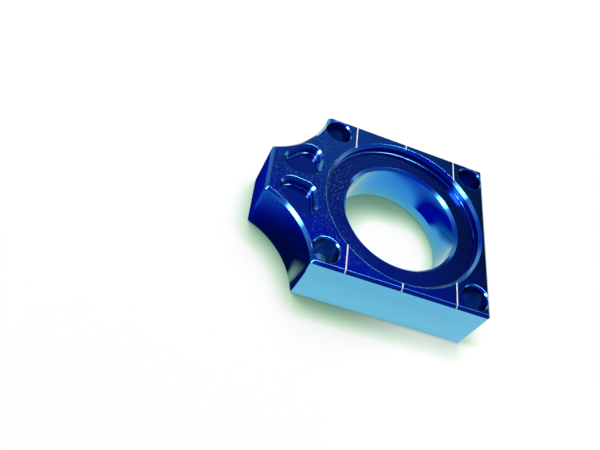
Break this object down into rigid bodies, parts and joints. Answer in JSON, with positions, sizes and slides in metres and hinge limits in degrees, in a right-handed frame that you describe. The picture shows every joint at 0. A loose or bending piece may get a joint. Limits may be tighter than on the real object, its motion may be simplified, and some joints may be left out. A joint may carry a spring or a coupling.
{
  "type": "motorcycle chain adjuster block",
  "caption": "Flat machined axle block with a stepped axle bore, corner holes, a scalloped nose with milled pockets and index marks, pushed along a swingarm slot to set chain tension.",
  "frame": {"origin": "on the axle bore's axis, in the plane of the inner face that lies against the swingarm", "axes": "+Z along the bore, out of the outer face with the washer recess; +X towards the straight tail; the nose that the adjuster bolt pushes on is at -X"},
  "size_m": [0.0495, 0.0396, 0.012],
  "materials": {
    "blue_anodised": "polished, blue anodised"
  },
  "bodies": {
    "root": {"axle_block": "blue_anodised"}
  },
  "joints": []
}
